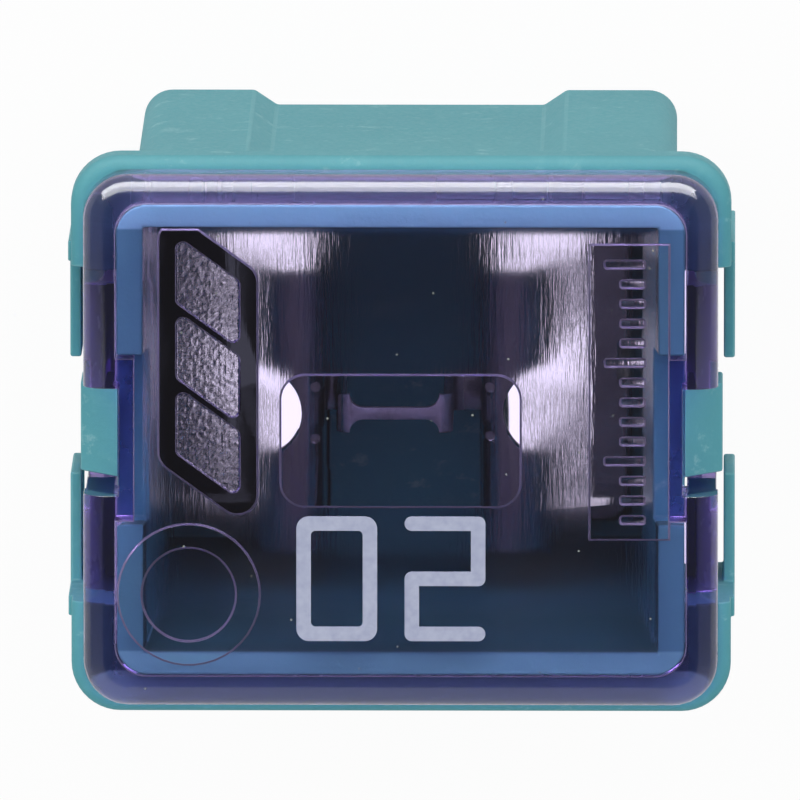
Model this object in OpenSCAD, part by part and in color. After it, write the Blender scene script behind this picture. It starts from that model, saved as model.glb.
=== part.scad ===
// Low-profile cartridge fuse with two female blade sockets, standing on its
// socket end. Millimetres, +Z up, origin at the centre of the standing face.
// X runs along the long side, from one socket to the other.

/* [Body] */
// Length of the body along X
body_l = 12.15; // [11.5:0.05:16]
// Width of the body along Y, over the socket columns
body_w = 10.2; // [8.4:0.05:14]
// Height of the shoulder that the lid stands on
shoulder_h = 20.2; // [16.8:0.1:26]
// Radius of the body's upright corners
body_r = 0.65; // [0.3:0.05:0.9]
// Depth of the flute down each wide face
flute_d = 0.34; // [0.1:0.02:0.5]
// Width of the flute's flat floor
flute_w = 6.1; // [3:0.1:7]
// Plain stretch of the wide face between the flute and the flange
flute_stop = 2.4; // [1.5:0.1:6]
// Wall behind the flute
side_wall = 0.65; // [0.5:0.05:1.2]
// Wall outside each socket, at the narrow ends
end_wall = 1.02; // [0.8:0.02:1.6]
// Wall of the fuse chamber at the narrow ends
chamber_wall = 0.72; // [0.5:0.02:0.9]
// Thickness of the web between the two sockets
web_t = 3.4; // [3:0.1:4]
// Thickness of the floor that the terminals stand on
floor_t = 1.4; // [1:0.1:2]
// Lead-in chamfer round each socket mouth
mouth_chamfer = 0.4; // [0.2:0.05:0.6]

/* [Shoulder] */
// Thickness of the flange
flange_t = 1; // [0.7:0.05:1.6]
// Radius of the flange's upright corners
flange_r = 1.1; // [0.8:0.05:1.6]
// Rounding of the flange's upper edge
flange_edge = 0.3; // [0.1:0.05:0.4]
// Rim of the flange outside the lid
flange_rim = 0.29; // [0.15:0.01:0.5]
// Step of the collar outside the body at the narrow ends
collar_step_x = 0.225; // [0.1:0.025:0.4]
// Step of the collar outside the body at the wide faces
collar_step_y = 0.15; // [0.05:0.025:0.3]
// Thickness of the collar at its rim, at the narrow ends
collar_t = 0.58; // [0.4:0.02:0.8]
// Thickness of the collar at its rim, at the wide faces
collar_side_t = 0.48; // [0.4:0.02:0.8]
// Depth over which the chamber opens out to the collar's rim
flare_h = 3.9; // [2:0.1:5]

/* [Latches] */
// Width of each latch leg
leg_w = 6.9; // [5.6:0.1:7.4]
// Thickness of each latch leg
leg_t = 0.65; // [0.5:0.05:0.68]
// Reach of the latch legs below the shoulder
leg_drop = 4.4; // [3.6:0.1:6]
// Height of the bar that hooks under each latch post
leg_bar = 1.2; // [0.8:0.1:1.6]
// Width of each latch post
post_w = 2; // [1.4:0.02:2.2]
// How far each latch post stands out from the collar
post_reach = 0.84; // [0.7:0.02:0.9]
// Depth of each latch post's top below the shoulder
post_top = 0.3; // [0.1:0.05:0.5]
// Height of the lead-in on each latch post
post_slope = 1.05; // [0.6:0.05:1.4]
// Clearance under each latch post
post_play = 0.1; // [0.05:0.01:0.2]
// Clearance beside each latch leg
leg_play = 0.3; // [0.1:0.05:0.4]
// Clearance between each latch leg and its guards
guard_play = 0.16; // [0.05:0.01:0.3]
// Thickness of the guards outside the latch legs
guard_t = 0.25; // [0.2:0.05:0.5]
// Height of the guards
guard_h = 3.1; // [2:0.1:4]
// Gap between the two guards of an end
guard_gap = 2.6; // [2:0.1:3.4]
// Thickness of the ribs that carry the guards
rib_t = 0.45; // [0.3:0.05:0.8]

/* [Lid] */
// Rise of the lid above the shoulder
lid_rise = 1.3; // [1.1:0.05:2]
// Thickness of the lid's flat top
lid_plate = 0.6; // [0.45:0.05:0.8]
// Thickness of the lid's skirt at the narrow ends
skirt_x = 0.69; // [0.69:0.01:0.9]
// Thickness of the lid's skirt at the wide faces
skirt_y = 0.64; // [0.5:0.01:0.9]
// Radius of the lid's upright corners
lid_r = 1; // [0.7:0.05:1.4]
// Rounding of the lid's upper edge
lid_edge = 0.55; // [0.3:0.05:0.65]
// Clearance of the lid round the collar
lid_fit = 0.05; // [0.02:0.01:0.1]
// Clearance of the lid above the collar
lid_gap = 0.02; // [0.01:0.01:0.05]
// Clearance of each latch notch beside its post
notch_play = 0.2; // [0.1:0.02:0.35]
// Thickness of the hood wall round each latch notch, at its ends
hood_side = 0.6; // [0.4:0.05:0.8]
// Thickness of the hood wall round each latch notch, at its back
hood_t = 0.32; // [0.25:0.01:0.4]
// Reach of the hood below the lid's flat top
hood_drop = 1.2; // [0.8:0.1:1.6]
// Clearance of the hood in the collar
hood_play = 0.1; // [0.05:0.01:0.2]

/* [Lid fields] */
// Depth of the moulded fields in the lid's underside
field_d = 0.08; // [0.04:0.01:0.15]
// Margin between the corner fields and the collar's inner edge
field_margin = 0.15; // [0.1:0.01:0.3]
// Length of the clear window field
window_l = 5.33; // [4:0.01:6]
// Width of the clear window field
window_w = 2.96; // [2:0.01:3.6]
// Corner radius of the clear window field
window_r = 0.55; // [0.2:0.01:0.8]
// Width of the leaning field that holds the grained tiles
tile_field_w = 2.2; // [1.6:0.05:2.3]
// Length of either side of the leaning field
tile_field_l = 5.85; // [5:0.05:6]
// Corner radius of the leaning field
tile_field_r = 0.45; // [0.2:0.01:0.5]
// Angle by which the ends of the field and of its tiles fall
tile_lean = 36; // [25:1:40]
// Distance of the leaning field's side from the collar's inner edge at -X
tile_field_x = 0.35; // [0.2:0.01:0.5]
// Distance of the leaning field's middle from the collar's inner edge at +Y
tile_field_y = 3.13; // [3:0.01:3.3]
// Number of grained tiles
tiles = 3; // [2:1:4]
// Gap between the grained tiles
tile_gap = 0.2; // [0.15:0.01:0.3]
// Margin between the grained tiles and the sides of their field
tile_inset = 0.4; // [0.3:0.01:0.5]
// Width of the field that holds the tick marks
tick_field_w = 1.77; // [1.4:0.01:1.9]
// Reach of the tick marks' field over the collar
tick_over = 0.24; // [0.1:0.01:0.3]
// Length of the field that holds the tick marks
tick_field_l = 6.6; // [5:0.1:6.8]
// Spacing of the tick marks
tick_pitch = 0.44; // [0.3:0.02:0.6]
// Width of the tick marks
tick_w = 0.18; // [0.1:0.01:0.22]
// Length of the long tick marks
tick_long = 0.9; // [0.6:0.05:1.1]
// Length of the short tick marks
tick_short = 0.55; // [0.3:0.05:0.7]
// Radius of the plain disc mark
disc_r = 1.05; // [0.8:0.01:1.2]
// Radius of the sunk ring round the disc mark
ring_r = 1.58; // [1.4:0.01:1.6]
// Distance of the disc mark's middle from the collar's inner edge at -X
disc_x = 1.02; // [1:0.01:1.3]
// Distance of the disc mark's middle from the collar's inner edge at -Y
disc_y = 1.32; // [1.2:0.01:1.5]

/* [Numerals] */
// Height of the rating numerals
digit_h = 2.8; // [2:0.02:3]
// Width of each rating numeral
digit_w = 1.8; // [1.2:0.02:2]
// Width of the numerals' stroke
stroke = 0.33; // [0.25:0.01:0.5]
// Space between the two numerals
digit_gap = 0.6; // [0.3:0.01:0.8]
// Distance from the middle of the lid to the nearest edge of the numerals
digit_y = 1.64; // [1.5:0.02:1.8]
// Distance of the numerals towards -X from the middle of the lid
digit_x = 0.21; // [0:0.01:0.4]
// Depth that the hot stamp sinks into the lid
stamp_d = 0.03; // [0.02:0.01:0.05]

/* [Fuse element] */
// Thickness of the terminal strip
strip_t = 0.4; // [0.3:0.02:0.5]
// Thickness of a mating blade
blade_t = 0.8; // [0.6:0.05:1]
// How far a mating blade pushes the contact fingers back
preload = 0.1; // [0.05:0.01:0.2]
// Clearance of the terminals in their pockets
seat_fit = 0.05; // [0.03:0.01:0.1]
// Step from each socket mouth's edge to the terminal's inner face
mouth_step = 0.1; // [0.05:0.01:0.2]
// Width of the ledge beside each terminal
ledge_w = 0.41; // [0.3:0.01:0.5]
// Height of each terminal's box above the ledge
ledge_drop = 0.5; // [0.2:0.1:1]
// Height of each terminal's box
box_h = 6.6; // [6:0.1:9.5]
// Outer bend radius of each terminal's box
box_r = 0.6; // [0.5:0.05:0.8]
// Reach of the stop over each blade, from the outer wall of the box
stop_reach = 0.95; // [0.8:0.05:1.3]
// Width of the slit between the folded edges of each box
seam = 0.8; // [0.4:0.1:1.2]
// Space between the shoulder and the top of the contact fingers
head_space = 3.85; // [3:0.05:5]
// Radius of the curl at the top of the contact fingers
curl_r = 0.55; // [0.4:0.01:0.6]
// Gap between the contact fingers and the sides of the box
finger_gap = 0.1; // [0.05:0.01:0.2]
// Radius of the throat between the contact fingers
throat_r = 1.03; // [0.8:0.01:1.2]
// Step from the inner wall's face to the throat
throat_step = 0.1; // [0.05:0.01:0.3]
// Height of the contact line above the floor
contact_h = 4.2; // [4:0.1:6]
// Lean of the fingers' tips below the contact line, in degrees
tip_lean = 25; // [20:5:50]
// Length of the fingers' tips
tip_l = 0.6; // [0.4:0.1:1.5]
// Width across the two fingers at their tips
tip_w = 3.6; // [3:0.1:5]
// Bend radius of the fingers at the contact line
touch_r = 1.5; // [1:0.1:2]
// Radius of the coining dimples on the curl
dimple_r = 0.11; // [0.08:0.01:0.15]
// Thickness of the fuse link
link_t = 0.2; // [0.15:0.01:0.3]
// Width of the fuse link at its narrow bridge
link_w = 0.28; // [0.15:0.01:0.4]
// Width of the fuse link at its legs
link_leg_w = 0.86; // [0.6:0.02:1.2]
// Clearance between the fuse link's legs and the terminals
link_clear = 0.45; // [0.35:0.01:0.6]
// How far the fuse link is bent over towards -X
link_lean = 0.18; // [0:0.02:0.2]
// Depth of the fuse link's bridge below the top of the curls
link_sink = 0.15; // [0:0.05:0.5]
// Bend radius of the fuse link
link_r = 0.22; // [0.15:0.01:0.3]
// Gap between the foot of the fuse link's legs and the web under them
web_gap = 1.8; // [1:0.1:3]
// Drop of the fuse link's legs below its bridge
link_drop = 3.9; // [2:0.1:4.5]

/* [Hidden] */
$fn = 48;
eps = 0.01;
bite = 0.3;

teal = "#5f9fa5";
violet = [0.42, 0.38, 0.72, 0.6];
tinned = "#b9bcc4";

// Collar, lid and flange, each sized from the one inside it
collar_l = body_l + 2 * collar_step_x;
collar_w = body_w + 2 * collar_step_y;
lid_l = collar_l + 2 * (lid_fit + skirt_x);
lid_w = collar_w + 2 * (lid_fit + skirt_y);
flange_l = lid_l + 2 * flange_rim;
flange_w = lid_w + 2 * flange_rim;
lid_top = shoulder_h + lid_rise;
lid_under = lid_top - lid_plate;
collar_top = lid_under - lid_gap;
flange_foot = shoulder_h - flange_t;

// Fuse chamber, and the terminal pocket at the +X end
chamber_x = body_l / 2 - chamber_wall;
chamber_y = body_w / 2 - flute_d - side_wall;
rim_x = collar_l / 2 - collar_t;
rim_y = collar_w / 2 - collar_side_t;
pocket_in = web_t / 2;
pocket_out = body_l / 2 - end_wall;
pocket_y = chamber_y - ledge_w;

// Terminal at the +X end: its box, its contact fingers and its half of the link
term_in = pocket_in + seat_fit;
term_out = pocket_out - seat_fit;
term_y = pocket_y - seat_fit;
box_top = floor_t + box_h;
ledge_z = box_top - ledge_drop;
finger_y = term_y - strip_t - finger_gap;
curl_top = shoulder_h - head_space;
curl_z = curl_top - strip_t / 2 - curl_r;
curl_x = term_in + strip_t / 2 + curl_r;
touch_x = term_out - strip_t - blade_t + preload - strip_t / 2;
touch_z = floor_t + contact_h;
throat_x = term_in + strip_t + throat_step + throat_r;
link_z = curl_top - link_sink - link_t / 2;
link_foot = link_z - link_drop;
link_x = term_in - link_clear - link_t / 2;
web_h = link_foot - web_gap;

// Latch at the +X end: leg, post, guards and hood
leg_in = collar_l / 2 + lid_fit;
leg_out = leg_in + leg_t;
leg_foot = shoulder_h - leg_drop;
bar_top = leg_foot + leg_bar;
post_foot = bar_top + post_play;
notch_y = post_w / 2 + notch_play;
slot_y = leg_w / 2 + leg_play;
guard_in = leg_out + guard_play;
guard_out = guard_in + guard_t;
hood_out = collar_l / 2 - lid_fit;
hood_y = notch_y + hood_side;
hood_foot = lid_under - hood_drop;
way_foot = hood_foot - hood_play;

// ---- shapes that the pieces share ----

// Rectangle with round corners, centred
module round_rect(l, w, r) {
    union() {
        square([l - 2 * r, w], center = true);
        square([l, w - 2 * r], center = true);
        for (x = [-1, 1], y = [-1, 1])
            translate([x * (l / 2 - r), y * (w / 2 - r)])
                circle(r);
    }
}

// Half section of a slab with a rounded upper edge
module edge_section(half, h, e) {
    square([half - e, h]);
    square([half, h - e]);
    intersection() {
        translate([half - e, h - e])
            circle(e);
        square([half, h]);
    }
}

// Slab with round corners and a rounded upper edge, standing on z = 0
module soft_slab(l, w, h, r, e) {
    for (x = [-1, 1], y = [-1, 1])
        translate([x * (l / 2 - r), y * (w / 2 - r), 0])
            rotate_extrude()
                edge_section(r, h, e);
    for (turn = [0, 180]) {
        rotate([90, 0, turn])
            linear_extrude(w - 2 * r, center = true)
                edge_section(l / 2, h, e);
        rotate([90, 0, turn + 90])
            linear_extrude(l - 2 * r, center = true)
                edge_section(w / 2, h, e);
    }
}

// Outline in X and Z, carried along Y
module along_y(length) {
    rotate([90, 0, 0])
        linear_extrude(length, center = true)
            children();
}

// Outline in Y and Z, carried along X
module along_x(length) {
    rotate([90, 0, 90])
        linear_extrude(length, center = true)
            children();
}

// Block between two opposite corners
module block(low, high) {
    translate(low)
        cube(high - low);
}

// The child at the +X end, and again turned round to the -X end
module both_ends() {
    for (turn = [0, 180])
        rotate([0, 0, turn])
            children();
}

// Points along an arc
function arc(c, r, from, to, n = 10) =
    [for (i = [0:n]) let (a = from + (to - from) * i / n) c + r * [cos(a), sin(a)]];

// Unit normal of a path at its point i
function normal(p, i) =
    let (d = p[min(i + 1, len(p) - 1)] - p[max(i - 1, 0)])
    [-d[1], d[0]] / norm(d);

// Outline of a strip of thickness t whose middle follows a path
function strip(p, t) = concat(
    [for (i = [0:len(p) - 1]) p[i] + normal(p, i) * t / 2],
    [for (i = [len(p) - 1:-1:0]) p[i] - normal(p, i) * t / 2]
);

// ---- housing: one teal moulding ----

// Flute down the wide face on the +Y side
module flute() {
    floor_y = body_w / 2 - flute_d;
    top = flange_foot - flute_stop;
    half = flute_w / 2;
    intersection() {
        translate([0, 0, -1])
            linear_extrude(top + 2)
                polygon([
                    [-half, floor_y],
                    [half, floor_y],
                    [half + 3 * flute_d, floor_y + 2 * flute_d],
                    [-half - 3 * flute_d, floor_y + 2 * flute_d]
                ]);
        along_x(2 * body_l)
            polygon([
                [floor_y, -1],
                [floor_y, top],
                [floor_y + 2 * flute_d, top + flute_d],
                [floor_y + 2 * flute_d, -1]
            ]);
    }
}

// Side view of the fuse chamber, straight below and opening out to the rim
module chamber_view(half, rim) {
    flare_z = collar_top - flare_h;
    polygon([
        [-half, web_h],
        [half, web_h],
        [half, flare_z],
        [rim, collar_top],
        [rim, lid_top],
        [-rim, lid_top],
        [-rim, collar_top],
        [-half, flare_z]
    ]);
}

module chamber() {
    intersection() {
        along_y(body_w)
            chamber_view(chamber_x, rim_x);
        along_x(body_l)
            chamber_view(chamber_y, rim_y);
    }
}

// Side view of a socket mouth's lead-in, from its low to its high side
module lead_in(low, high) {
    spread = 1 + mouth_chamfer;
    polygon([
        [low - spread, -1],
        [high + spread, -1],
        [high, mouth_chamfer],
        [low, mouth_chamfer]
    ]);
}

// Room for the terminal at the +X end: pocket, ledges, mouth and lead-in
module pocket() {
    mouth_in = term_in + strip_t + mouth_step;
    mouth_out = term_out - strip_t + mouth_step;
    mouth_y = term_y - strip_t + mouth_step;
    open_z = max(web_h, ledge_z) + eps;
    block([pocket_in, -pocket_y, floor_t], [pocket_out, pocket_y, open_z]);
    block([pocket_in, -chamber_y, ledge_z], [chamber_x, chamber_y, open_z]);
    block([mouth_in, -mouth_y, -1], [mouth_out, mouth_y, floor_t + 1]);
    intersection() {
        along_y(body_w)
            lead_in(mouth_in, mouth_out);
        along_x(2 * body_l)
            lead_in(-mouth_y, mouth_y);
    }
}

// Way for the latch leg and its hood through the flange and the collar
module latch_way() {
    side = hood_y + hood_play;
    block(
        [collar_l / 2, -slot_y, flange_foot - 1],
        [guard_out + 1, slot_y, lid_top]
    );
    block(
        [chamber_x - 1, -side, way_foot],
        [collar_l / 2 + eps, side, lid_top]
    );
}

// Wedge that the leg's bar snaps under
module latch_post() {
    back = collar_l / 2;
    tip = back + post_reach;
    top = shoulder_h - post_top;
    along_y(post_w)
        polygon([
            [back - bite, post_foot],
            [tip, post_foot],
            [tip, top - post_slope],
            [back, top],
            [back, way_foot],
            [back - bite, way_foot]
        ]);
}

// Ribs and guards that cover the end of the latch leg
module latch_guards() {
    foot = bar_top - guard_h;
    for (side = [0, 1])
        mirror([0, side, 0]) {
            block(
                [body_l / 2 - bite, slot_y, foot],
                [guard_out, slot_y + rib_t, flange_foot + eps]
            );
            block(
                [guard_in, guard_gap / 2, foot],
                [guard_out, slot_y + rib_t, bar_top]
            );
        }
}

module housing() {
    color(teal) {
        difference() {
            union() {
                linear_extrude(flange_foot + eps)
                    round_rect(body_l, body_w, body_r);
                translate([0, 0, flange_foot])
                    soft_slab(flange_l, flange_w, flange_t, flange_r, flange_edge);
                translate([0, 0, flange_foot])
                    linear_extrude(collar_top - flange_foot)
                        round_rect(collar_l, collar_w, body_r);
            }
            for (turn = [0, 180])
                rotate([0, 0, turn])
                    flute();
            chamber();
            both_ends() {
                pocket();
                latch_way();
            }
        }
        both_ends() {
            latch_post();
            latch_guards();
        }
    }
}

// ---- lid: one transparent violet moulding ----

// Latch leg with the lead-in at its foot
module leg() {
    along_y(leg_w)
        polygon([
            [leg_in + leg_t / 2, leg_foot],
            [leg_out, leg_foot],
            [leg_out, lid_under + eps],
            [leg_in, lid_under + eps],
            [leg_in, leg_foot + leg_t]
        ]);
}

// Wall that closes the collar's gap behind the latch post
module hood() {
    block(
        [hood_out - hood_t, -hood_y, hood_foot],
        [leg_in + 0.1, hood_y, lid_under + eps]
    );
}

// Opening over the latch post, through the lid and down the leg
module notch() {
    block([hood_out, -notch_y, bar_top], [lid_l, notch_y, lid_top + 1]);
}

// Grained tiles stand in a plain field on the -X side, which leans and stops short
// of the collar
module tile_field() {
    far = rim_y - field_margin / 3;
    rise = tile_inset / cos(tile_lean);
    tile_l = (tile_field_l - 2 * rise + tile_gap) / tiles - tile_gap;
    first = tile_field_l / 2 - rise - tile_l / 2;
    intersection() {
        translate([tile_field_x + tile_field_w / 2 - rim_x, rim_y - tile_field_y])
            difference() {
                leaning_rect(tile_field_w, tile_field_l, tile_field_r);
                for (i = [0:tiles - 1])
                    translate([0, first - i * (tile_l + tile_gap)])
                        leaning_rect(
                            tile_field_w - 2 * tile_inset,
                            tile_l,
                            field_margin
                        );
            }
        block_2d([-rim_x, far - 2 * rim_y], [0, far]);
    }
}

// Rectangle with round corners, whose ends fall towards +X
module leaning_rect(w, l, r) {
    end = r * [sin(tile_lean), cos(tile_lean)];
    side = [r, 0];
    x = w / 2 - r;
    y = l / 2 - r / cos(tile_lean);
    a = [-x, y + x * tan(tile_lean)];
    b = [x, y - x * tan(tile_lean)];
    polygon([a - side, a, b, b + side, side - a, -a, -b, -b - side]);
    polygon([a, a + end, b + end, b, -a, -a - end, -b - end, -b]);
    for (corner = [a, b, -a, -b])
        translate(corner)
            circle(r);
}

// Tick marks stand in a plain field on the +X side, every fifth one longer
module tick_field() {
    edge = rim_x + tick_over;
    far = rim_y - 2.5 * field_margin;
    count = floor(tick_field_l / tick_pitch) - 1;
    difference() {
        block_2d([edge - tick_field_w, far - tick_field_l], [edge, far]);
        for (i = [1:count])
            translate([rim_x - 2 * field_margin, far - i * tick_pitch])
                tick(i % 5 == 1 ? tick_long : tick_short);
    }
}

// One tick mark, running in from the lid's side
module tick(length) {
    translate([-length / 2, 0])
        round_rect(length, tick_w, tick_w / 3);
}

// Rectangle between two opposite corners
module block_2d(low, high) {
    translate(low)
        square(high - low);
}

// Plain disc inside a sunk ring, in the corner at -X and -Y
module disc_field() {
    translate([disc_x - rim_x, disc_y - rim_y])
        difference() {
            circle(ring_r);
            circle(disc_r);
        }
}

// The rating reads from the +Y side: the numerals are 2 and 0, turned round
module numerals() {
    middle = [digit_w / 2 + digit_gap / 2, -digit_y - digit_h / 2];
    translate([middle[0] - digit_x, middle[1]])
        two();
    translate([-middle[0] - digit_x, middle[1]])
        zero();
}

// Numeral 0 as an even stroke round a rectangle
module zero() {
    difference() {
        round_rect(digit_w, digit_h, stroke * 0.85);
        round_rect(digit_w - 2 * stroke, digit_h - 2 * stroke, stroke * 0.3);
    }
}

// Numeral 2 as an even stroke with square turns and round ends
module two() {
    x = (digit_w - stroke) / 2;
    y = (digit_h - stroke) / 2;
    bar([-x, y], [x, y]);
    bar([x, y], [x, 0]);
    bar([x, 0], [-x, 0]);
    bar([-x, 0], [-x, -y]);
    bar([-x, -y], [x, -y]);
}

// One stroke with round ends
module bar(from, to) {
    d = to - from;
    translate(from)
        rotate(atan2(d[1], d[0])) {
            translate([0, -stroke / 2])
                square([norm(d), stroke]);
            circle(stroke / 2);
            translate([norm(d), 0])
                circle(stroke / 2);
        }
}

module lid() {
    color(violet)
        difference() {
            union() {
                difference() {
                    translate([0, 0, shoulder_h])
                        soft_slab(lid_l, lid_w, lid_rise, lid_r, lid_edge);
                    translate([0, 0, shoulder_h - 1])
                        linear_extrude(lid_under - shoulder_h + 1)
                            round_rect(
                                collar_l + 2 * lid_fit,
                                collar_w + 2 * lid_fit,
                                body_r + lid_fit
                            );
                }
                both_ends() {
                    leg();
                    hood();
                }
            }
            both_ends()
                notch();
            translate([0, 0, lid_under - 1])
                linear_extrude(1 + field_d) {
                    round_rect(window_l, window_w, window_r);
                    tile_field();
                    tick_field();
                    disc_field();
                }
            translate([0, 0, lid_top - stamp_d])
                linear_extrude(1)
                    numerals();
        }
}

// ---- fuse element: one tinned strip, stamped and folded ----

// Box that holds a blade, folded shut along a seam at its outer side, with a
// stop folded in over the blade's end
module terminal_box() {
    long = term_out - term_in;
    bend = box_r - strip_t;
    translate([0, 0, floor_t])
        linear_extrude(box_h)
            difference() {
                translate([(term_in + term_out) / 2, 0])
                    difference() {
                        round_rect(long, 2 * term_y, box_r);
                        round_rect(long - 2 * strip_t, 2 * (term_y - strip_t), bend);
                    }
                block_2d([term_out - 2 * strip_t, -seam / 2], [term_out + 1, seam / 2]);
            }
    block(
        [term_out - stop_reach, -term_y + box_r, box_top - strip_t],
        [term_out - strip_t / 2, term_y - box_r, box_top]
    );
}

// Middle of the strip through a contact finger, in X and Z
function finger_path() =
    let (
        lean = atan((touch_x - curl_x - curl_r) / (curl_z - touch_z)),
        turn = arc([touch_x - touch_r, touch_z], touch_r, lean, -tip_lean, 8),
        last = turn[len(turn) - 1]
    )
    concat(
        [[curl_x - curl_r, box_top - 1]],
        arc([curl_x, curl_z], curl_r, 180, lean, 16),
        turn,
        [last - tip_l * [sin(tip_lean), cos(tip_lean)]]
    );

// Cut that narrows a finger from the curl down to its tip, on the +Y side
module finger_taper() {
    translate([curl_x + body_l / 2, 0, 0])
        along_x(body_l)
            polygon([
                [tip_w / 2, floor_t],
                [finger_y, curl_z],
                [body_w / 2, curl_z],
                [body_w / 2, floor_t]
            ]);
}

// Two contact fingers that curl over from the inner wall of the box
module fingers() {
    difference() {
        along_y(2 * finger_y)
            polygon(strip(finger_path(), strip_t));
        for (side = [0, 1])
            mirror([0, side, 0])
                finger_taper();
        translate([throat_x, 0, 0])
            cylinder(r = throat_r, h = shoulder_h);
        block([throat_x, -throat_r, 0], [term_out, throat_r, shoulder_h]);
        for (side = [-1, 1])
            translate([curl_x - curl_r, side * link_leg_w * 2 / 3, curl_top - strip_t])
                cylinder(r = dimple_r, h = 1);
    }
}

// The points of a path from last to first
function backwards(p) = [for (i = [len(p) - 1:-1:0]) p[i]];

// The points of a path with each turned over by the signs in m
function turned(p, m) = [for (q = p) [m[0] * q[0], m[1] * q[1]]];

// Middle of the link from its bridge, down its leg at x, to its foot at +X
function half_link(x, r = link_r) = concat(
    arc([x - r, link_z - r], r, 90, 0, 6),
    arc([x + r, link_foot + r], r, 180, 270, 6),
    [[term_in + strip_t / 2, link_foot]]
);

// Thin link from terminal to terminal: a narrow bridge on two legs
module link() {
    wide = link_leg_w / 2;
    thin = link_w / 2;
    flare = wide - thin;
    edge = concat(
        arc([link_x - flare - link_t, wide], flare, -90, 0, 6),
        [[term_out, wide]]
    );
    intersection() {
        along_y(2 * wide)
            polygon(strip(
                concat(
                    turned(backwards(half_link(link_x + link_lean)), [-1, 1]),
                    half_link(link_x - link_lean)
                ),
                link_t
            ));
        translate([-link_lean, 0, 0])
            linear_extrude(shoulder_h)
                polygon(concat(
                    edge,
                    turned(backwards(edge), [1, -1]),
                    turned(edge, [-1, -1]),
                    turned(backwards(edge), [-1, 1])
                ));
    }
}

module fuse_element() {
    color(tinned) {
        both_ends() {
            terminal_box();
            fingers();
        }
        link();
    }
}

housing();
lid();
fuse_element();
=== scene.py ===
"""Low-profile cartridge fuse: a satin teal housing, a clear violet lid that clips
over it, and the tinned fuse element that shows through the lid."""

import math

import bmesh
import bpy
from bpy.props import FloatProperty, FloatVectorProperty, IntProperty, PointerProperty
from mathutils import Matrix, Vector


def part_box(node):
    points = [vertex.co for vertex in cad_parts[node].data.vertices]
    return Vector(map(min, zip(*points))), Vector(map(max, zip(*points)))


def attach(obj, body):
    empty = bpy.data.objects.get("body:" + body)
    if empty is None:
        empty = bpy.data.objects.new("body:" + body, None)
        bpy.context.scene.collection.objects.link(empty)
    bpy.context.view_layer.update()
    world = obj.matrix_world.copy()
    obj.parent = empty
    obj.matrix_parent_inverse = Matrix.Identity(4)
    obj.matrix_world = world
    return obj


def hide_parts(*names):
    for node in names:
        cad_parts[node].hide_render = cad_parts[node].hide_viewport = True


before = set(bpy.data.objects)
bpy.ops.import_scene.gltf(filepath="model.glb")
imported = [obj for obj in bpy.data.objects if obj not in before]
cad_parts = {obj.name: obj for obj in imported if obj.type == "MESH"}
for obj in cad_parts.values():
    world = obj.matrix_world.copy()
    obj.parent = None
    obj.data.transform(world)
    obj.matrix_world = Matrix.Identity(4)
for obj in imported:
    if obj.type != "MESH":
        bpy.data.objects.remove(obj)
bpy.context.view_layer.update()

bl_info = {
    "name": "Cartridge fuse",
    "version": (1, 0, 0),
    "blender": (4, 5, 0),
    "location": "3D View > Sidebar > Fuse",
    "description": "Makes the housing, the lid, its numerals and the fuse element",
    "category": "Add Mesh",
}

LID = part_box("lid")
MM = 0.001

# Heights on the fuse, in millimetres
TOP = LID[1].z / MM
UNDERSIDE = TOP - 0.6
FLANGE = TOP - 1.3

# Cleaning of the CAD's triangles: closer points are one, shorter edges go, and
# faces that turn less from each other are one
WELD = 0.0005 * MM
SLIVER = 0.0002 * MM
FLAT = math.radians(0.3)

# Edges that turn more are rounded, and edges that turn more are shaded apart
SHARP = math.radians(28)
CREASE = math.radians(38)

# An edge runs on into the next one up to this turn, in radians, and a rounding
# takes up to this share of the edges that it meets
SMOOTH_TURN = 0.6
ROOM = 0.42


# ---- sizes ----


def size(name, description, default, smallest=0.0, largest=100.0):
    """A length in millimetres that a user may change."""
    return FloatProperty(
        name=name,
        description=description,
        default=default,
        min=smallest,
        max=largest,
        subtype="DISTANCE_CAMERA",
    )


def finish(code):
    """The linear colour of an sRGB hex value."""
    parts = [int(code[i : i + 2], 16) / 255 for i in (1, 3, 5)]
    return tuple(
        p / 12.92 if p <= 0.04045 else ((p + 0.055) / 1.055) ** 2.4 for p in parts
    ) + (1.0,)


def paint(name, description, code):
    """A colour that a user may change."""
    return FloatVectorProperty(
        name=name,
        description=description,
        default=finish(code),
        size=4,
        min=0.0,
        max=1.0,
        subtype="COLOR",
    )


class FuseHousingSizes(bpy.types.PropertyGroup):
    edge: size("Edge", "Rounding of the moulding's edges, in mm", 0.05)
    colour: paint("Colour", "Teal of the moulded housing", "#589fa8")
    # The scuff colour also goes along the edges, partly as wear and partly as a painted
    # highlight
    scuff: paint("Scuff", "Paler teal where the surface is rubbed", "#93c3c6")


class FuseLidSizes(bpy.types.PropertyGroup):
    edge: size("Edge", "Rounding of the lid's edges, in mm", 0.025)
    grain: size("Grain", "Size of the tiles' grain, in mm", 0.055)
    relief: size("Relief", "Height of the tiles' grain, in mm", 0.08)
    seed: IntProperty(name="Seed", description="Seed of the grain", default=7)
    clear: size("Clear", "Air between the lid's foot and the flange, in mm", 0.015)


class FuseNumeralSizes(bpy.types.PropertyGroup):
    lift: size("Lift", "Gap between the foil and the stamped floor, in mm", 0.002)
    inset: size("Inset", "Gap between the foil and the stamped edge, in mm", 0.004)
    colour: paint("Colour", "Pale foil of the numerals", "#949ab4")


class FuseElementSizes(bpy.types.PropertyGroup):
    edge: size("Edge", "Rounding of the strip's cut edges, in mm", 0.045)
    colour: paint("Colour", "Tin plating", "#c9cacf")


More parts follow.
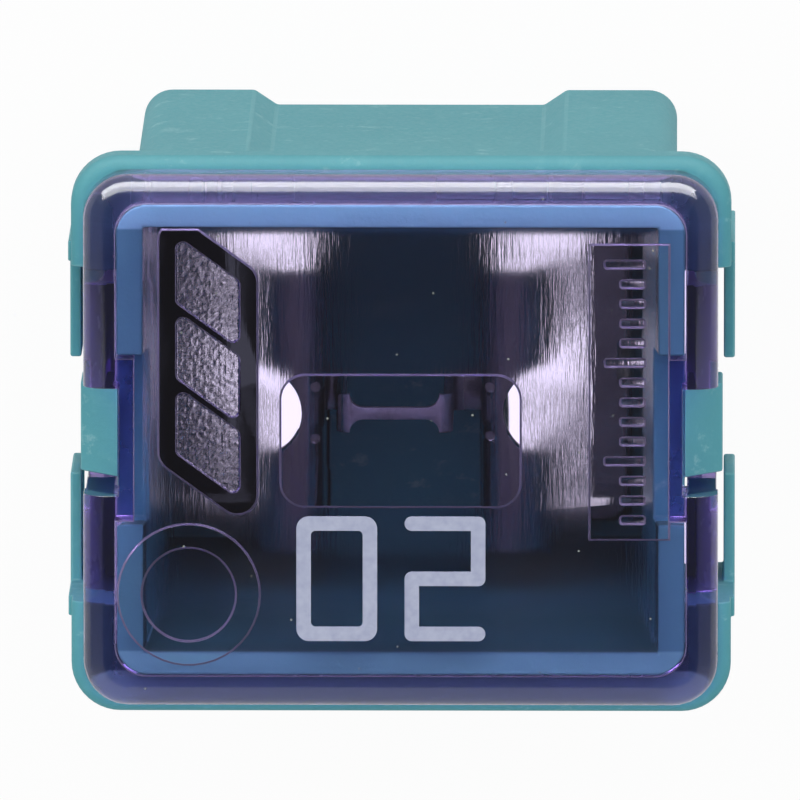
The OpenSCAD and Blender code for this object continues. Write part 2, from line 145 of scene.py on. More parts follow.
class FuseStageSizes(bpy.types.PropertyGroup):
    reach: FloatProperty(
        name="Reach",
        description="Distance of the camera from the lid",
        default=0.7,
        unit="LENGTH",
    )
    lens: FloatProperty(
        name="Lens",
        description="Focal length of the camera, in mm",
        default=1419.0,
    )
    key: FloatProperty(
        name="Key", description="Radiance of the key softbox", default=1.8
    )
    card: FloatProperty(
        name="Card", description="Radiance of the card mirrored in edges", default=12.0
    )


# ---- nodes ----


def add(tree, kind, links=None, **settings):
    """Adds a node with its settings. links gives inputs a value, another node's
    socket, or a node, which stands for its first output."""
    made = tree.nodes.new(kind)
    for name, value in settings.items():
        setattr(made, name, value)
    for key, value in (links or {}).items():
        if isinstance(value, bpy.types.Node):
            value = value.outputs[0]
        if isinstance(value, bpy.types.NodeSocket):
            tree.links.new(value, made.inputs[key])
        else:
            made.inputs[key].default_value = value
    return made


def new_material(name):
    """An empty node material, with its output."""
    made = bpy.data.materials.new(name)
    made.use_nodes = True
    made.node_tree.nodes.clear()
    return made, made.node_tree, add(made.node_tree, "ShaderNodeOutputMaterial")


def millimetres(tree, stretch=(1, 1, 1)):
    """Object coordinates in millimetres, stretched along an axis."""
    place = add(tree, "ShaderNodeTexCoord").outputs["Object"]
    scale = tuple(s / MM for s in stretch)
    return add(tree, "ShaderNodeMapping", {"Vector": place, "Scale": scale})


def parts_of(tree, vector):
    """A vector's X, Y and Z, and how far X and Y are from 0 either way."""
    parts = add(tree, "ShaderNodeSeparateXYZ", {0: vector}).outputs
    far = [
        add(tree, "ShaderNodeMath", {0: parts[name]}, operation="ABSOLUTE")
        for name in ("X", "Y")
    ]
    return parts["X"], parts["Y"], parts["Z"], *far


def zone(tree, *ramps):
    """A share that is 1 inside a zone and fades to 0 at its borders: the product of
    its ramps. A ramp is a value, where it starts and where it is full, and what it
    gives at those two, if that isn't 0 and 1."""
    share = None
    for ramp in ramps:
        step = add(tree, "ShaderNodeMapRange", dict(enumerate(ramp)))
        if share is not None:
            step = add(
                tree, "ShaderNodeMath", {0: share, 1: step}, operation="MULTIPLY"
            )
        share = step
    return share


def layered(tree, shade, *coats):
    """A colour with coats over it, each a share and the coat's colour."""
    for share, coat in coats:
        shade = add(
            tree,
            "ShaderNodeMix",
            {0: share, 6: shade, 7: coat},
            data_type="RGBA",
        ).outputs[2]
    return shade


def relief(tree, *waves):
    """A normal bent by waves, each a strength, a height in millimetres and a
    pattern."""
    bent = None
    for strength, height, pattern in waves:
        links = {"Strength": strength, "Distance": height * MM, "Height": pattern}
        if bent is not None:
            links["Normal"] = bent
        bent = add(tree, "ShaderNodeBump", links)
    return bent


# ---- materials ----
#
# Their zones are places on the moulding, in millimetres.


def moulded_nylon(sizes):
    """Glass-filled nylon, injection moulded against a spark-eroded tool: a satin
    face with a fine orange peel, flow marks down the walls, and edges a little
    paler than the faces, partly from wear and partly as a painted highlight."""
    made, tree, out = new_material("moulded_teal_nylon")
    place = millimetres(tree)
    _, y, z, far_x, far_y = parts_of(tree, place)
    normal = add(tree, "ShaderNodeNewGeometry").outputs["Normal"]
    _, facing_y, _, facing_end, _ = parts_of(tree, normal)
    cloud = add(
        tree, "ShaderNodeTexNoise", {"Vector": place, "Scale": 1 / 3.2, "Detail": 3.0}
    )
    flow = add(
        tree,
        "ShaderNodeTexNoise",
        {
            "Vector": millimetres(tree, (1, 1, 0.25)),
            "Scale": 1 / 0.45,
            "Detail": 4.0,
            "Roughness": 0.6,
        },
    )
    # Real orange peel is finer: this is drawn coarse enough to show
    peel = add(
        tree,
        "ShaderNodeTexNoise",
        {"Vector": place, "Scale": 1 / 0.11, "Detail": 3.0, "Roughness": 0.6},
    )
    scuffs = add(
        tree,
        "ShaderNodeTexNoise",
        {
            "Vector": millimetres(tree, (0.6, 1, 0.8)),
            "Scale": 1 / 0.7,
            "Detail": 8.0,
            "Roughness": 0.75,
        },
    )
    edge = add(tree, "ShaderNodeAttribute", attribute_name="edge").outputs["Fac"]
    # Paler scuffs, and paler edges that are partly wear and partly a painted highlight
    rubbed = add(
        tree,
        "ShaderNodeMath",
        {
            0: zone(tree, (edge, 0.0, 1.0), (cloud, 0.3, 0.7, 0.05, 0.25)),
            1: zone(tree, (scuffs, 0.58, 0.67, 0.0, 0.5)),
        },
        operation="MAXIMUM",
    )
    # Where the lid stands on the flange, short of the flange's round corners
    corner = add(tree, "ShaderNodeMath", {0: far_x, 1: far_y}, operation="ADD")
    painted_seat = zone(
        tree,
        (far_x, 7.06, 7.0),
        (far_y, 5.96, 5.9),
        (corner, 12.3, 12.1),
        (z, FLANGE - 0.08, FLANGE - 0.02),
    )
    # Painted shade: the flange is darker under the lid's foot, and painted light makes
    # it paler along the -Y side
    seat_shade_and_light = layered(
        tree,
        finish("#46736c"),
        (zone(tree, (y, -5.2, -5.25)), finish("#94d4b0")),
    )
    # The collar's rim is painted paler as painted light, most on the +Y side, where
    # light gathers through the lid's rounded edge
    rim = layered(
        tree,
        finish("#5a989c"),
        (zone(tree, (y, 4.7, 4.75)), finish("#90d0d0")),
        (zone(tree, (y, -4.7, -4.75)), finish("#7cc0bc")),
    )
    # The chamber's -Y wall is painted darker: painted shade, where little light reaches
    # down the deep wall
    wall_painted_shade = zone(
        tree,
        (y, -3.6, -3.8),
        (far_x, 5.76, 5.74),
        (z, 20.65, 20.5),
        (z, 16.5, 18.5, 0.5, 0.9),
        (facing_y, 0.9, 0.95),
    )
    shade = layered(
        tree,
        tuple(sizes.colour),
        (zone(tree, (cloud, 0.3, 0.7, 0.0, 0.35)), finish("#4d929d")),
        (zone(tree, (flow, 0.55, 0.8, 0.0, 0.3)), finish("#70b0b6")),
        (rubbed, tuple(sizes.scuff)),
        (painted_seat, seat_shade_and_light),
        (zone(tree, (z, 20.7, 20.85)), rim),
        (wall_painted_shade, finish("#386f68")),
    )
    # The core's end faces are polished, so the chamber's ends mirror what is below
    polished = zone(tree, (far_x, 5.74, 5.72), (facing_end, 0.9, 0.95))
    face = add(
        tree,
        "ShaderNodeBsdfPrincipled",
        {
            "Base Color": shade,
            "Roughness": zone(
                tree, (peel, 0.3, 0.7, 0.52, 0.66), (polished, 0.0, 1.0, 1.0, 0.3)
            ),
            "IOR": 1.53,
            "Specular IOR Level": 0.12,
            "Subsurface Weight": 0.12,
            "Subsurface Radius": (0.4 * MM, 0.6 * MM, 0.7 * MM),
            "Subsurface Scale": 1.0,
            "Normal": relief(tree, (0.35, 0.02, peel), (0.3, 0.05, flow)),
        },
    )
    tree.links.new(face.outputs[0], out.inputs["Surface"])
    return made


def clear_polycarbonate(sizes):
    """Transparent polycarbonate, injection moulded: polished outside, its
    underside drawn along Y by the polishing stone, its tiles coarse and sparkling on
    a field tinted near black as painted shade, and a violet depth that grows with the
    thickness."""
    made, tree, out = new_material("moulded_violet_polycarbonate")
    place = millimetres(tree)
    x, y, z, far_x, far_y = parts_of(tree, place)
    ground, grained, satin, edge = (
        add(tree, "ShaderNodeAttribute", attribute_name=name).outputs["Fac"]
        for name in ("ground", "grained", "satin", "edge")
    )
    stone = add(
        tree,
        "ShaderNodeTexNoise",
        {
            "Vector": millimetres(tree, (1, 0.07, 1)),
            "Scale": 1 / 0.07,
            "Detail": 3.0,
            "Roughness": 0.6,
        },
    )
    cloud = add(
        tree,
        "ShaderNodeTexNoise",
        {"Vector": place, "Scale": 1 / 1.6, "Detail": 4.0, "Roughness": 0.6},
    )
    frost = add(tree, "ShaderNodeTexNoise", {"Vector": place, "Scale": 1 / 0.05})
    streaks = add(tree, "ShaderNodeMath", {0: ground, 1: stone}, operation="MULTIPLY")
    sparkle = add(tree, "ShaderNodeMath", {0: grained, 1: frost}, operation="MULTIPLY")
    # The lid's rounded brow is scuffed soft by handling
    brow = add(
        tree,
        "ShaderNodeMath",
        {0: zone(tree, (far_x, 6.45, 6.6)), 1: zone(tree, (far_y, 5.3, 5.45))},
        operation="MAXIMUM",
    )
    brow = zone(tree, (brow, 0.0, 1.0), (z, UNDERSIDE - 0.02, UNDERSIDE + 0.02))
    # The skirt's inner walls come matt out of the tool
    wall = zone(
        tree,
        (far_x, 6.4, 6.38),
        (far_y, 5.36, 5.34),
        (z, UNDERSIDE - 0.002, UNDERSIDE - 0.01),
    )
    rough = zone(tree, (cloud, 0.3, 0.7, 0.015, 0.03))
    for share, more in ((ground, 0.13), (grained, 0.1), (brow, 0.1), (wall, 0.25)):
        rough = add(
            tree,
            "ShaderNodeMath",
            {0: share, 1: more, 2: rough},
            operation="MULTIPLY_ADD",
        )
    # The floor of the tile field is tinted near black: painted shade, for the dark
    # chamber seen through it
    field_painted_shade = zone(
        tree,
        (x, -3.1, -3.2),
        (y, -1.85, -1.8),
        (z, UNDERSIDE + 0.06, UNDERSIDE + 0.07),
        (z, UNDERSIDE + 0.1, UNDERSIDE + 0.09),
    )
    shell = add(
        tree,
        "ShaderNodeBsdfPrincipled",
        {
            "Base Color": layered(
                tree, finish("#ffffff"), (field_painted_shade, finish("#050608"))
            ),
            "Roughness": rough,
            "IOR": 1.585,
            "Transmission Weight": 1.0,
            "Normal": relief(tree, (1.0, 0.008, streaks), (0.6, 0.01, sparkle)),
        },
    )
    # The latch legs scatter light a little
    milky = add(tree, "ShaderNodeBsdfTranslucent", {"Color": finish("#e8e4f4")})
    shell = add(
        tree,
        "ShaderNodeMixShader",
        {0: zone(tree, (satin, 0.0, 1.0, 0.0, 0.3)), 1: shell, 2: milky},
    )
    # Pale places: the frosted lines under the plate, the feet of the hood walls,
    # the stone's haze along the -X side, worn tops of the legs, and dust on top
    lines = zone(
        tree,
        (edge, 0.0, 1.0, 0.0, 0.75),
        (z, UNDERSIDE - 0.1, UNDERSIDE - 0.04),
        (z, UNDERSIDE + 0.2, UNDERSIDE + 0.15),
    )
    hood = zone(
        tree,
        (far_x, 5.6, 5.65),
        (far_y, 2.6, 2.55),
        (z, FLANGE + 0.08, FLANGE + 0.09),
        (z, FLANGE + 0.12, FLANGE + 0.11, 0.0, 0.3),
    )
    haze = zone(
        tree,
        (x, -5.38, -5.42),
        (y, -1.2, 0.0),
        (ground, 0.0, 1.0),
        (stone, 0.4, 0.65, 0.1, 0.6),
    )
    worn = zone(
        tree,
        (far_x, 6.25, 6.35),
        (far_x, 6.7, 6.6),
        (far_y, 3.7, 3.6),
        (z, TOP - 0.3, TOP - 0.2, 0.0, 0.02),
    )
    specks = add(
        tree,
        "ShaderNodeTexVoronoi",
        {"Vector": place, "Scale": 1 / 0.8},
        voronoi_dimensions="2D",
    ).outputs
    picked = add(tree, "ShaderNodeSeparateColor", {0: specks["Color"]})
    dust = zone(
        tree,
        (specks["Distance"], 0.04, 0.02),
        (picked, 0.8, 1.0),
        (z, TOP - 0.04, TOP - 0.02, 0.0, 0.8),
    )
    dull = lines
    for share in (hood, haze, worn, dust):
        dull = add(tree, "ShaderNodeMath", {0: dull, 1: share}, operation="MAXIMUM")
    pale = add(tree, "ShaderNodeBsdfDiffuse", {"Color": finish("#9aa29a")})
    shell = add(tree, "ShaderNodeMixShader", {0: dull, 1: shell, 2: pale})
    # Light reaches what is under the lid through a tinted clear surface, because
    # a shadow ray isn't refracted
    tint = layered(tree, finish("#ffffff"), (ground, finish("#7a8a6e")))
    clear = add(tree, "ShaderNodeBsdfTransparent", {"Color": tint})
    shadow = add(tree, "ShaderNodeLightPath").outputs["Is Shadow Ray"]
    surface = add(tree, "ShaderNodeMixShader", {0: shadow, 1: shell, 2: clear})
    depth = add(
        tree,
        "ShaderNodeVolumeAbsorption",
        {"Color": finish("#975ed5"), "Density": 900.0},
    )
    tree.links.new(surface.outputs[0], out.inputs["Surface"])
    tree.links.new(depth.outputs[0], out.inputs["Volume"])
    return made


def stamped_foil(sizes):
    """Hot-stamped foil: a flat pale lilac with a slight sheen and the faint
    mottling of foil pressed into warm plastic."""
    made, tree, out = new_material("stamped_pale_foil")
    mottle = add(
        tree,
        "ShaderNodeTexNoise",
        {"Vector": millimetres(tree), "Scale": 1 / 0.16, "Detail": 3.0},
    )
    face = add(
        tree,
        "ShaderNodeBsdfPrincipled",
        {
            "Base Color": layered(
                tree,
                tuple(sizes.colour),
                (zone(tree, (mottle, 0.3, 0.7)), finish("#a2a8be")),
            ),
            "Roughness": zone(tree, (mottle, 0.3, 0.7, 0.45, 0.6)),
            "Normal": relief(tree, (0.3, 0.01, mottle)),
        },
    )
    tree.links.new(face.outputs[0], out.inputs["Surface"])
    return made


def tinned_alloy(sizes):
    """Copper alloy strip with bright tin, stamped and folded: a soft mirror with
    rolling lines along Z, duller blotches, edges smeared by the cut and painted
    paler as a highlight, and a link made dull where it was coined thin."""
    made, tree, out = new_material("tinned_copper_alloy")
    place = millimetres(tree)
    far_x = parts_of(tree, place)[3]
    rolled = add(
        tree,
        "ShaderNodeTexNoise",
        {
            "Vector": millimetres(tree, (1, 1, 0.1)),
            "Scale": 1 / 0.08,
            "Detail": 3.0,
            "Roughness": 0.6,
        },
    )
    blotch = add(
        tree,
        "ShaderNodeTexNoise",
        {"Vector": place, "Scale": 1 / 0.7, "Detail": 4.0, "Roughness": 0.6},
    )
    pebble = add(
        tree,
        "ShaderNodeTexNoise",
        {"Vector": place, "Scale": 1 / 0.14, "Detail": 3.0, "Roughness": 0.6},
    )
    edge = add(tree, "ShaderNodeAttribute", attribute_name="edge").outputs["Fac"]
    rough = add(
        tree,
        "ShaderNodeMath",
        {
            0: zone(tree, (blotch, 0.3, 0.7, 0.15, 0.27)),
            1: zone(tree, (far_x, 1.35, 1.3), (pebble, 0.35, 0.65, 0.15, 0.5)),
        },
        operation="ADD",
    )
    # The paler edges are partly the cut's smear and partly a painted highlight
    shade = layered(
        tree,
        tuple(sizes.colour),
        (zone(tree, (blotch, 0.35, 0.7)), finish("#b4b2b6")),
        (zone(tree, (edge, 0.0, 1.0, 0.0, 0.5)), finish("#d8d8dc")),
    )
    face = add(
        tree,
        "ShaderNodeBsdfPrincipled",
        {
            "Base Color": shade,
            "Metallic": 1.0,
            "Roughness": rough,
            "Normal": relief(tree, (0.5, 0.02, pebble), (0.3, 0.01, rolled)),
        },
    )
    tree.links.new(face.outputs[0], out.inputs["Surface"])
    return made


def white_sheet():
    """White acrylic sheet, cast: plain white where it is seen or mirrored, with
    the object's shadow kept, and clear from below."""
    made, tree, out = new_material("white_acrylic_sheet")
    path = add(tree, "ShaderNodeLightPath").outputs
    seen = path["Is Camera Ray"]
    for ray in ("Is Glossy Ray", "Is Transmission Ray"):
        seen = add(tree, "ShaderNodeMath", {0: seen, 1: path[ray]}, operation="MAXIMUM")
    matt = add(tree, "ShaderNodeBsdfDiffuse", {"Color": finish("#d8d8d8")})
    glow = add(
        tree,
        "ShaderNodeEmission",
        {
            "Color": finish("#ffffff"),
            "Strength": zone(tree, (path["Is Transmission Ray"], 0.0, 1.0, 1.0, 1.6)),
        },
    )
    above = add(
        tree,
        "ShaderNodeMixShader",
        {0: zone(tree, (seen, 0.0, 1.0, 0.0, 0.95)), 1: matt, 2: glow},
    )
    below = add(tree, "ShaderNodeBsdfTransparent")
    back = add(tree, "ShaderNodeNewGeometry").outputs["Backfacing"]
    both = add(tree, "ShaderNodeMixShader", {0: back, 1: above, 2: below})
    tree.links.new(both.outputs[0], out.inputs["Surface"])
    return made


# ---- meshes ----


def make_piece(name, bm):
    """A plain object of that mesh, which is used up."""
    mesh = bpy.data.meshes.new(name)
    bm.to_mesh(mesh)
    bm.free()
    piece = bpy.data.objects.new(name, mesh)
    bpy.context.scene.collection.objects.link(piece)
    return piece


def bake(piece):
    """Turns a piece with live modifiers into its plain mesh."""
    shown = bpy.context.evaluated_depsgraph_get()
    made = bpy.data.meshes.new_from_object(piece.evaluated_get(shown))
    old = piece.data
    piece.modifiers.clear()
    piece.data = made
    bpy.data.meshes.remove(old)
    made.name = piece.name


def copy_of(node):
    """A CAD node's mesh as one closed surface of flat faces."""
    bm = bmesh.new()
    bm.from_mesh(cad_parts[node].data)
    bmesh.ops.remove_doubles(bm, verts=bm.verts, dist=WELD)
    bmesh.ops.dissolve_degenerate(bm, edges=bm.edges, dist=SLIVER)
    bmesh.ops.dissolve_limit(bm, angle_limit=FLAT, verts=bm.verts, edges=bm.edges)
    return bm


def turn_between(first, second, shared):
    """The angle by which a path turns as it goes from one edge to the next."""
    came = shared.co - first.other_vert(shared).co
    goes = second.other_vert(shared).co - shared.co
    return came.angle(goes, 0.0)


def edge_weights(bm, width, wanted):
    """How much of the rounding each sharp edge has room for. A chain of edges that
    run on smoothly takes the smallest room found along it."""
    sharp = {
        edge
        for edge in bm.edges
        if len(edge.link_faces) == 2
        and edge.calc_face_angle(0) > SHARP
        and wanted(edge)
    }
    room, runs_on = {}, {}
    for edge in sharp:
        room[edge], runs_on[edge] = 1.0, []
        for vert in edge.verts:
            for other in vert.link_edges:
                if other == edge:
                    continue
                if other in sharp and turn_between(edge, other, vert) < SMOOTH_TURN:
                    runs_on[edge].append(other)
                elif set(other.link_faces) & set(edge.link_faces):
                    share = ROOM * other.calc_length() / (width * MM)
                    room[edge] = min(room[edge], share)
    weights, left = {}, set(sharp)
    while left:
        chain, queue = [], [left.pop()]
        while queue:
            edge = queue.pop()
            chain.append(edge)
            for other in runs_on[edge]:
                if other in left:
                    left.remove(other)
                    queue.append(other)
        least = min(room[edge] for edge in chain)
        weights.update({edge: least for edge in chain})
    return weights


def round_edges(bm, width, wanted=lambda edge: True):
    """The mesh with its sharp edges rounded where there is room, as an object whose
    rounded faces carry the mark 1."""
    weight = bm.edges.layers.float.new("bevel_weight_edge")
    for edge, share in edge_weights(bm, width, wanted).items():
        edge[weight] = share
    piece = make_piece("rounded", bm)
    bevel = piece.modifiers.new("bevel", "BEVEL")
    bevel.limit_method = "WEIGHT"
    bevel.offset_type = "OFFSET"
    bevel.width = width * MM
    bevel.segments = 2
    bevel.use_clamp_overlap = False
    bevel.miter_outer = "MITER_SHARP"
    # Faces that the bevel makes take a second material, which tells them apart
    bevel.material = 1
    for _ in range(2):
        piece.data.materials.append(bpy.data.materials.new("draft"))
    bake(piece)
    mesh = piece.data
    rounded = [face.material_index for face in mesh.polygons]
    mark = mesh.attributes.new("edge", "FLOAT", "FACE")
    mark.data.foreach_set("value", rounded)
    mesh.polygons.foreach_set("material_index", [0] * len(rounded))
    mesh.attributes.remove(mesh.attributes["bevel_weight_edge"])
    mesh.materials.clear()
    return piece


def cut_faces(bm, faces, cuts):
    """Cuts the faces at places along an axis, and gives back their parts."""
    for axis, place in cuts:
        parts = dict.fromkeys(faces)
        for face in faces:
            parts.update(dict.fromkeys(face.edges))
            parts.update(dict.fromkeys(face.verts))
        way = Vector((axis == 0, axis == 1, axis == 2))
        made = bmesh.ops.bisect_plane(
            bm, geom=list(parts), dist=1e-8, plane_co=way * place, plane_no=way
        )
        faces = [part for part in made["geom"] if isinstance(part, bmesh.types.BMFace)]
    return faces


def cut_tiles(bm, tiles, step, grained, loose):
    """Cuts the tiles into cells, and marks them and the points inside them."""
    cuts = []
    for axis in (0, 1):
        places = [vert.co[axis] for face in tiles for vert in face.verts]
        low, high = min(places), max(places)
        count = round((high - low) / step)
        cuts += [(axis, low + (high - low) * i / count) for i in range(1, count)]
    cells = cut_faces(bm, tiles, cuts)
    for face in cells:
        face[grained] = 1.0
    for vert in dict.fromkeys(vert for face in cells for vert in face.verts):
        vert[loose] = float(all(face[grained] for face in vert.link_faces))


def grain_tiles(piece, material, sizes):
    """Throws the marked points about by a seeded noise, which leaves the coarse,
    sparkling grain of a spark-eroded tool."""
    tree = bpy.data.node_groups.new("tile_grain", "GeometryNodeTree")
    values = {
        "Grain": sizes.grain * MM,
        "Relief": sizes.relief * MM,
        "Seed": float(sizes.seed),
        "Material": material,
    }
    tree.interface.new_socket(
        "Geometry", in_out="INPUT", socket_type="NodeSocketGeometry"
    )
    for name, value in values.items():
        kind = "NodeSocketFloat" if isinstance(value, float) else "NodeSocketMaterial"
        tree.interface.new_socket(name, in_out="INPUT", socket_type=kind)
    tree.interface.new_socket(
        "Geometry", in_out="OUTPUT", socket_type="NodeSocketGeometry"
    )
    given = add(tree, "NodeGroupInput").outputs
    per_grain = add(
        tree, "ShaderNodeMath", {0: 1.0, 1: given["Grain"]}, operation="DIVIDE"
    )
    cloud = add(
        tree,
        "ShaderNodeTexNoise",
        {
            "Vector": add(tree, "GeometryNodeInputPosition"),
            "W": given["Seed"],
            "Scale": per_grain,
            "Detail": 2.0,
            "Roughness": 0.7,
        },
        noise_dimensions="4D",
    ).outputs["Color"]
    # The noise runs from 0 to 1, so its middle stands for a point left in place
    thrown = add(
        tree, "ShaderNodeVectorMath", {0: cloud, 1: (0.5,) * 3}, operation="SUBTRACT"
    )
    loose = add(
        tree, "GeometryNodeInputNamedAttribute", {"Name": "loose"}, data_type="FLOAT"
    )
    reach = add(
        tree, "ShaderNodeMath", {0: given["Relief"], 1: loose}, operation="MULTIPLY"
    )
    thrown = add(
        tree, "ShaderNodeVectorMath", {0: thrown, "Scale": reach}, operation="SCALE"
    )
    moved = add(
        tree,
        "GeometryNodeSetPosition",
        {"Geometry": given["Geometry"], "Offset": thrown},
    )
    real = add(tree, "GeometryNodeRealizeInstances", {"Geometry": moved})
    clad = add(
        tree,
        "GeometryNodeSetMaterial",
        {"Geometry": real, "Material": given["Material"]},
    )
    add(tree, "NodeGroupOutput", {"Geometry": clad})
    grain = piece.modifiers.new("grain", "NODES")
    grain.node_group = tree
    for item in tree.interface.items_tree:
        if item.name in values:
            grain[item.identifier] = values[item.name]
    bake(piece)
    piece.data.materials.clear()


def finish_piece(piece, name, material, slot, *nodes):
    piece.name = name
    mesh = piece.data
    mesh.materials.append(material)
    mesh.shade_smooth()
    mesh.set_sharp_from_angle(angle=CREASE)
    even = piece.modifiers.new("even", "WEIGHTED_NORMAL")
    even.keep_sharp = True
    bake(piece)
    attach(piece, "root")
    if nodes:
        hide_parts(*nodes)


# ---- operators ----


class FUSE_OT_housing(bpy.types.Operator):
    """Makes the moulded housing"""

    bl_idname = "fuse.housing"
    bl_label = "Housing"

    def execute(self, context):
        sizes = context.scene.fuse_housing
        finish_piece(
            round_edges(copy_of("housing"), sizes.edge),
            "housing_moulding",
            moulded_nylon(sizes),
            "housing_plastic",
            "housing",
        )
        return {"FINISHED"}


class FUSE_OT_lid(bpy.types.Operator):
    """Makes the transparent lid, with its grained tiles"""

    bl_idname = "fuse.lid"
    bl_label = "Lid"

    def execute(self, context):
        sizes = context.scene.fuse_lid
        material = clear_polycarbonate(sizes)
        bm = copy_of("lid")
        grained = bm.faces.layers.float.new("grained")
        loose = bm.verts.layers.float.new("loose")
        foot, underside = FLANGE * MM, UNDERSIDE * MM
        # How far from the middle the plate's underside is open to the chamber
        open_x, open_y = LID[1].x - 1.32 * MM, LID[1].y - 1.17 * MM
        for vert in bm.verts:
            if abs(vert.co.z - foot) < 0.005 * MM:
                vert.co.z += sizes.clear * MM
        below, tiles = [], []
        for face in bm.faces:
            middle = face.calc_center_median()
            if face.normal.z > -0.99 or abs(middle.z - underside) > 0.01 * MM:
                continue
            area = face.calc_area() / MM**2
            tile = 1.5 < area < 5 and middle.x < -3 * MM and middle.y > -2 * MM
            (tiles if tile else below).append(face)
        cuts = [
            (axis, side * reach)
            for axis, reach in enumerate((open_x, open_y))
            for side in (-1, 1)
        ]
        cut_faces(bm, below, cuts)
        # A cell is a little smaller than a grain
        cut_tiles(bm, tiles, 0.7 * sizes.grain * MM, grained, loose)

        def wanted(edge):
            """Whether an edge is rounded. Left sharp are the grain, the foot's inner
            edge, which would throw a bright band on the flange, and the fine print
            and soft brow of the top."""
            if any(face[grained] for face in edge.link_faces):
                return False
            if all(
                abs(vert.co.z - foot) < 0.1 * MM
                and abs(vert.co.x) < LID[1].x - 0.6 * MM
                and abs(vert.co.y) < LID[1].y - 0.6 * MM
                for vert in edge.verts
            ):
                return False
            highest = max(vert.co.z for vert in edge.verts)
            nearest = min(abs(vert.co.x) for vert in edge.verts)
            return highest < (TOP - 0.2) * MM or nearest > 6 * MM

        piece = round_edges(bm, sizes.edge, wanted)
        marks = piece.data.attributes
        for name in ("ground", "satin"):
            marks.new(name, "FLOAT", "FACE")
        for face in piece.data.polygons:
            here = face.center
            inside = abs(here.x) < open_x and abs(here.y) < open_y
            level = abs(here.z - underside) < 0.1 * MM
            if inside and level and face.normal.z < -0.99:
                # The sunk fields are polished, and the window most of all
                sunk = here.z > underside + 0.01 * MM
                window = sunk and abs(here.x) < 2 * MM and abs(here.y) < MM
                share = 1 - 0.85 * sunk - 0.15 * window
                marks["ground"].data[face.index].value = share
            if here.z < foot and abs(here.x) > 6.3 * MM:
                marks["satin"].data[face.index].value = 1.0
        grain_tiles(piece, material, sizes)
        finish_piece(piece, "lid_moulding", material, "lid_plastic", "lid")
        return {"FINISHED"}


class FUSE_OT_numerals(bpy.types.Operator):
    """Makes the foil of the stamped numerals"""

    bl_idname = "fuse.numerals"
    bl_label = "Numerals"

    def execute(self, context):
        sizes = context.scene.fuse_numerals
        bm = copy_of("lid")
        top = LID[1].z
        # What stays is the floors that are stamped less than 0.1 mm into the top
        away = [
            face
            for face in bm.faces
            if face.normal.z < 0.99
            or face.calc_center_median().z > top - 0.01 * MM
            or face.calc_center_median().z < top - 0.1 * MM
        ]
        bmesh.ops.delete(bm, geom=away, context="FACES")
        rim = bmesh.ops.inset_region(
            bm,
            faces=bm.faces,
            thickness=sizes.inset * MM,
            use_boundary=True,
            use_even_offset=True,
        )
        bmesh.ops.delete(bm, geom=rim["faces"], context="FACES")
        floor = min(vert.co.z for vert in bm.verts)
        raised = bmesh.ops.extrude_face_region(bm, geom=bm.faces[:])
        upper = [v for v in raised["geom"] if isinstance(v, bmesh.types.BMVert)]
        rise = top - floor - 2 * sizes.lift * MM
        bmesh.ops.translate(bm, verts=upper, vec=(0, 0, rise))
        bmesh.ops.translate(bm, verts=bm.verts, vec=(0, 0, sizes.lift * MM))
        bmesh.ops.recalc_face_normals(bm, faces=bm.faces)
        finish_piece(
            make_piece("numeral_print", bm),
            "numeral_print",
            stamped_foil(sizes),
            "stamp_foil",
        )
        return {"FINISHED"}


class FUSE_OT_element(bpy.types.Operator):
    """Makes the tinned fuse element"""

    bl_idname = "fuse.element"
    bl_label = "Fuse element"

    def execute(self, context):
        sizes = context.scene.fuse_element
        finish_piece(
            round_edges(copy_of("fuse_element"), sizes.edge),
            "tinned_element",
            tinned_alloy(sizes),
            "tinned_metal",
            "fuse_element",
        )
        return {"FINISHED"}


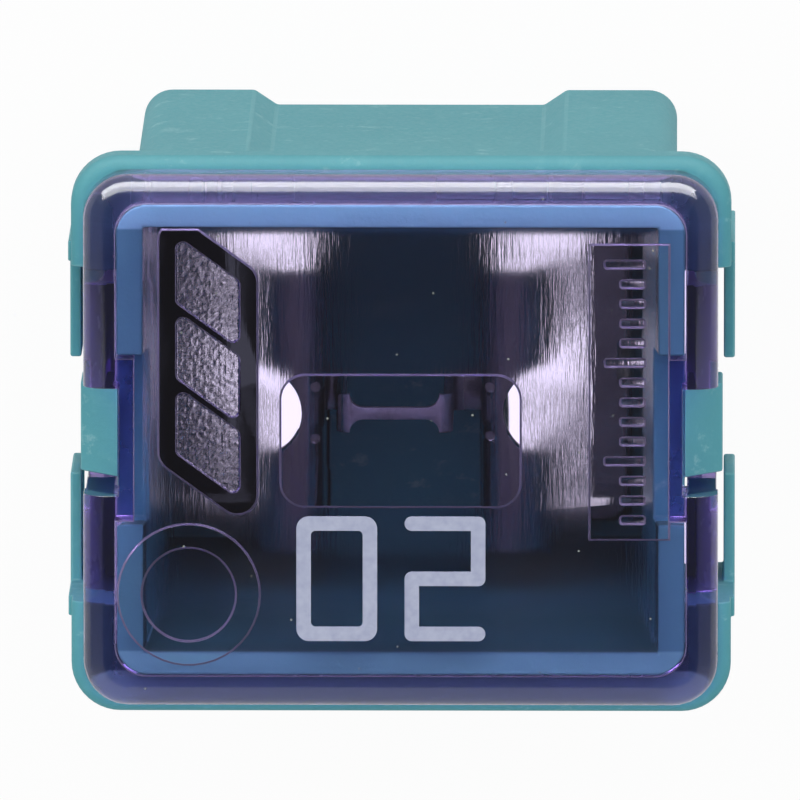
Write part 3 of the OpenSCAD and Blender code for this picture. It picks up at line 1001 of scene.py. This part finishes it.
class FUSE_OT_stage(bpy.types.Operator):
    """Makes the floor, the lights and the camera"""

    bl_idname = "fuse.stage"
    bl_label = "Stage"

    def execute(self, context):
        scene = context.scene
        sizes = scene.fuse_stage
        scene.view_settings.view_transform = "Standard"
        bm = bmesh.new()
        bmesh.ops.create_grid(bm, x_segments=1, y_segments=1, size=2.0)
        floor = make_piece("floor", bm)
        floor.data.materials.append(white_sheet())
        self.surround(scene)
        key = self.lamp(scene, "key_softbox", -10, 62, 80, 60, sizes.key)
        key.visible_glossy = False
        key.visible_transmission = False
        for name, elevation, high, radiance in (
            ("edge_card", 10, 30, sizes.card),
            ("upper_card", 36, 26, 0.6 * sizes.card),
        ):
            card = self.lamp(scene, name, -4, elevation, 90, high, radiance)
            card.visible_diffuse = False
        self.camera(scene, sizes)
        return {"FINISHED"}

    def lamp(self, scene, name, azimuth, elevation, wide, high, radiance):
        """A softbox that faces the lid. Its place and its spread, both in degrees,
        are as the lid sees them."""
        far = 0.6
        a, e = math.radians(azimuth), math.radians(elevation)
        back = Vector(
            (math.sin(a) * math.cos(e), math.cos(a) * math.cos(e), math.sin(e))
        )
        data = bpy.data.lights.new(name, "AREA")
        data.shape = "RECTANGLE"
        data.size = 2 * far * math.tan(math.radians(wide) / 2)
        data.size_y = 2 * far * math.tan(math.radians(high) / 2)
        data.energy = radiance * math.pi * data.size * data.size_y
        made = bpy.data.objects.new(name, data)
        made.location = Vector((0, 0, LID[1].z)) + back * far
        made.rotation_mode = "QUATERNION"
        made.rotation_quaternion = back.to_track_quat("Z", "Y")
        made.visible_camera = False
        scene.collection.objects.link(made)
        return made

    def surround(self, scene):
        """The studio around the fuse: white where it is seen, mid grey as a light.
        Outer gloss mirrors a pale band near the floor, and what is under the lid
        mirrors a dark ceiling."""
        world = bpy.data.worlds.new("studio")
        scene.world = world
        world.use_nodes = True
        tree = world.node_tree
        tree.nodes.clear()
        path = add(tree, "ShaderNodeLightPath").outputs
        way = add(tree, "ShaderNodeTexCoord").outputs["Generated"]
        _, y, z, _, _ = parts_of(tree, way)
        band = zone(tree, (z, 0.86, 0.95, 1.0, 0.0), (y, -0.5, -0.1, 1.0, 0.4))
        level = add(tree, "ShaderNodeMath", {0: band, 1: 0.1}, operation="MAXIMUM")
        for ray, share in (
            ("Is Transmission Ray", 0.13),
            ("Is Diffuse Ray", 0.5),
            ("Is Camera Ray", 1.0),
        ):
            level = add(tree, "ShaderNodeMix", {0: path[ray], 2: level, 3: share})
        sky = add(
            tree,
            "ShaderNodeBackground",
            {"Color": finish("#ffffff"), "Strength": level},
        )
        out = add(tree, "ShaderNodeOutputWorld")
        tree.links.new(sky.outputs[0], out.inputs["Surface"])
        world.cycles.sampling_method = "NONE"

    def camera(self, scene, sizes):
        """A long lens above the lid, tipped towards +Y."""
        data = bpy.data.cameras.new("camera")
        data.lens = sizes.lens
        data.sensor_width = 36.0
        data.clip_start = 0.01
        data.clip_end = 10.0
        camera = bpy.data.objects.new("camera", data)
        scene.collection.objects.link(camera)
        aim = Vector((-0.022, 0.783, 20.2)) * MM
        back = Vector((0.0111, 0.139, 0.99)).normalized()
        side = Vector((0, 1, 0)).cross(back).normalized()
        turned = Matrix((side, back.cross(side), back)).transposed().to_4x4()
        camera.matrix_world = Matrix.Translation(aim + back * sizes.reach) @ turned
        scene.camera = camera


class FUSE_PT_panel(bpy.types.Panel):
    """Sizes, colours and buttons of the fuse"""

    bl_idname = "FUSE_PT_panel"
    bl_label = "Cartridge fuse"
    bl_space_type = "VIEW_3D"
    bl_region_type = "UI"
    bl_category = "Fuse"

    def draw(self, context):
        for group, button in STEPS:
            box = self.layout.box()
            box.operator(button)
            sizes = getattr(context.scene, group)
            for name in type(sizes).__annotations__:
                box.prop(sizes, name)


GROUPS = {
    "fuse_housing": FuseHousingSizes,
    "fuse_lid": FuseLidSizes,
    "fuse_numerals": FuseNumeralSizes,
    "fuse_element": FuseElementSizes,
    "fuse_stage": FuseStageSizes,
}
STEPS = [
    ("fuse_housing", "fuse.housing"),
    ("fuse_lid", "fuse.lid"),
    ("fuse_numerals", "fuse.numerals"),
    ("fuse_element", "fuse.element"),
    ("fuse_stage", "fuse.stage"),
]
CLASSES = [
    *GROUPS.values(),
    FUSE_OT_housing,
    FUSE_OT_lid,
    FUSE_OT_numerals,
    FUSE_OT_element,
    FUSE_OT_stage,
    FUSE_PT_panel,
]


def register():
    for made in CLASSES:
        bpy.utils.register_class(made)
    for name, group in GROUPS.items():
        setattr(bpy.types.Scene, name, PointerProperty(type=group))


def unregister():
    for name in GROUPS:
        delattr(bpy.types.Scene, name)
    for made in reversed(CLASSES):
        bpy.utils.unregister_class(made)


def main():
    register()
    for _, step in STEPS:
        family, button = step.split(".")
        getattr(getattr(bpy.ops, family), button)()


if __name__ == "__main__":
    main()
